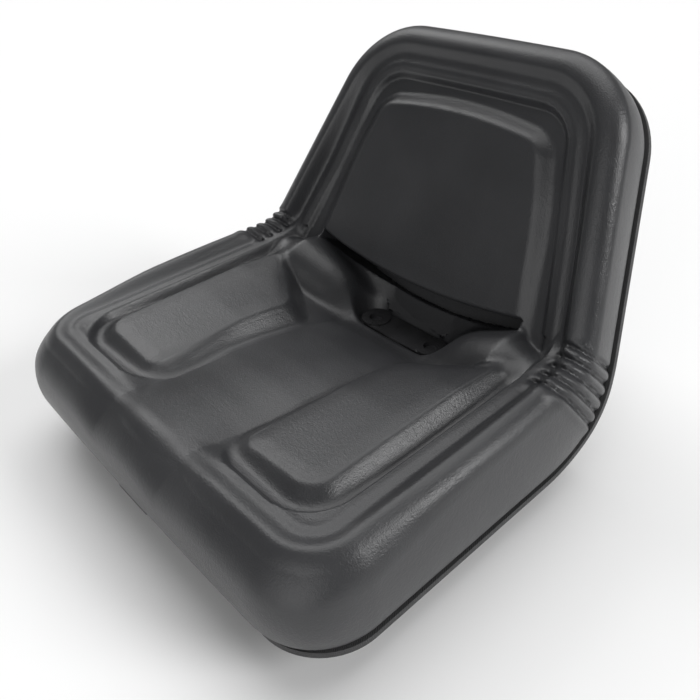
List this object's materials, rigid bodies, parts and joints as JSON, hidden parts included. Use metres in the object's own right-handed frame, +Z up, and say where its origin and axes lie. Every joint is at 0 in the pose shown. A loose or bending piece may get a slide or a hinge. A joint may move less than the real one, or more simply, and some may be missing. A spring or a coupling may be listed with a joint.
{
  "type": "vehicle seat",
  "caption": "Padded bucket seat with rolled bolsters, thigh pads, a back pad, drain bushes and a steel pan, for a ride-on mower or small tractor.",
  "frame": {"origin": "centre of the bolt pattern on the flat underside of the pan", "axes": "+X to the right as seen from in front, -Y towards the front edge, +Z up"},
  "size_m": [0.483, 0.5393, 0.362],
  "materials": {
    "painted_steel": "satin black powder coat",
    "foam": "open-cell moulded foam",
    "vinyl": "satin grained vinyl",
    "trim": "satin textured PVC",
    "black_plastic": "moulded, slightly glossy",
    "plated_steel": "zinc plated"
  },
  "bodies": {
    "root": {"seat_pan": "painted_steel", "foam_cushion": "foam", "vinyl_cover": "vinyl", "edge_trim": "trim", "trim_joint_cover": "trim", "retainer_bar": "black_plastic", "drain_bush_left": "black_plastic", "drain_bush_right": "black_plastic", "weld_nut_front_left": "plated_steel", "weld_nut_front_right": "plated_steel", "weld_nut_rear_left": "plated_steel", "weld_nut_rear_right": "plated_steel"}
  },
  "joints": []
}
